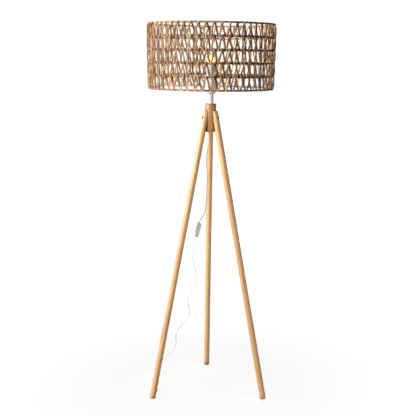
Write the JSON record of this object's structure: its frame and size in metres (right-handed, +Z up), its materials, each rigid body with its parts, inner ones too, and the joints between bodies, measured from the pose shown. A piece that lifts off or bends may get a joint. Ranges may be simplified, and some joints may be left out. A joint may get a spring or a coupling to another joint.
{
  "type": "tripod floor lamp",
  "caption": "Tripod floor lamp: round wooden legs on a turned hub, a lampholder on a short pole, and a drum shade of natural cord wound in rows on a wire frame, with a cord switch.",
  "frame": {"origin": "on the floor, under the lamp's upright axis", "axes": "+Z up along the pole, +X to the right seen from the front, -Y the front side, +Y along the back leg"},
  "size_m": [0.5048, 0.5202, 1.4852],
  "materials": {
    "wood": "clear satin varnish on pale hardwood",
    "dark_steel": "blackened steel",
    "zinc": "zinc plated",
    "brass": "plain brass",
    "white_metal": "white powder coat",
    "white_plastic": "satin moulded",
    "carrier": "unglazed",
    "opal": "opal diffuser, lit",
    "black_glass": "black insulator",
    "brown_wire": "dark brown wire",
    "rope": "twisted natural fibre cord, unvarnished",
    "cord": "soft white sheath"
  },
  "bodies": {
    "stand": {"hub": "wood", "leg_back": "wood", "leg_front_left": "wood", "leg_front_right": "wood", "leg_bolt_back": "dark_steel", "leg_bolt_front_left": "dark_steel", "leg_bolt_front_right": "dark_steel", "hub_insert_back": "brass", "hub_insert_front_left": "brass", "hub_insert_front_right": "brass", "pole": "white_metal", "threaded_rod": "zinc", "hub_nut": "zinc", "lampholder_nut": "zinc", "cord_grip": "white_plastic", "lead_in_rod": "cord", "lampholder_cap": "white_plastic", "lampholder_body": "white_plastic", "lampholder_carrier": "carrier", "lampholder_sleeve": "zinc", "lampholder_contact": "brass", "terminal_screw_left": "brass", "terminal_screw_right": "brass", "cord_upper": "cord", "cord_lower": "cord", "cord_hank": "cord", "cord_tie": "cord", "cord_tail": "cord", "switch_face": "white_plastic", "switch_back": "white_plastic", "switch_contact": "brass", "switch_screw_top": "zinc", "switch_screw_bottom": "zinc", "plug_body": "white_plastic", "plug_blade_left": "zinc", "plug_blade_right": "zinc"},
    "shade": {"shade_spider": "white_metal", "shade_hoop_1": "brown_wire", "shade_hoop_2": "brown_wire", "shade_hoop_3": "brown_wire", "shade_hoop_4": "brown_wire", "shade_hoop_5": "brown_wire", "shade_hoop_6": "brown_wire", "shade_row_1": "rope", "shade_row_2": "rope", "shade_row_3": "rope", "shade_row_4": "rope", "shade_row_5": "rope", "shade_stay_1": "brown_wire", "shade_stay_2": "brown_wire", "shade_stay_3": "brown_wire"},
    "ring": {"shade_ring": "white_plastic"},
    "bulb": {"bulb_dome": "opal", "bulb_board": "zinc", "bulb_housing": "white_plastic", "bulb_screw_cap": "zinc", "bulb_insulator": "black_glass", "bulb_tip": "brass"},
    "rocker": {"switch_rocker": "white_plastic"}
  },
  "joints": [
    {"name": "shade_turn", "type": "hinge", "parent": "stand", "child": "shade", "pos_m": [0, 0, 1.2396], "axis": [0, 0, 1], "continuous": true},
    {"name": "ring_thread", "type": "hinge", "parent": "stand", "child": "ring", "pos_m": [0, 0, 1.2419], "axis": [0, 0, 1], "continuous": true},
    {"name": "bulb_thread", "type": "hinge", "parent": "stand", "child": "bulb", "pos_m": [0, 0, 1.2622], "axis": [0, 0, 1], "continuous": true},
    {"name": "rocker_tilt", "type": "hinge", "parent": "stand", "child": "rocker", "pos_m": [-0.05258, -0.02382, 0.67197], "axis": [-0.6711, 0.7196, 0.1782], "range_deg": [-16, 0]}
  ]
}
